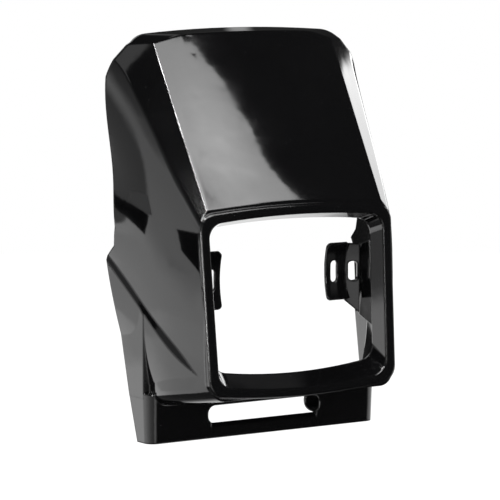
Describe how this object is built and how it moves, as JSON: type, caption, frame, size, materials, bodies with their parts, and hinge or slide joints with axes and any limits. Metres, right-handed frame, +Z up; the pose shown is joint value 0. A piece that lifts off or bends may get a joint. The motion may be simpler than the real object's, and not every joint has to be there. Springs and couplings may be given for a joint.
{
  "type": "headlight cowl",
  "caption": "One-piece moulded motorbike headlight cowl with a sloping crown panel, square lamp bezel, flared sides, slotted lamp brackets inside and a slotted chin.",
  "frame": {"origin": "midway between the two lamp bracket slots, on the front face of the bracket plates", "axes": "+X to the right seen from the front, -Y to the front where the lamp looks out, +Z up as fitted on the motorbike"},
  "size_m": [0.2526, 0.1238, 0.3492],
  "materials": {
    "shell": "high gloss black, moulded in colour"
  },
  "bodies": {
    "root": {"headlight_cowl": "shell"}
  },
  "joints": []
}
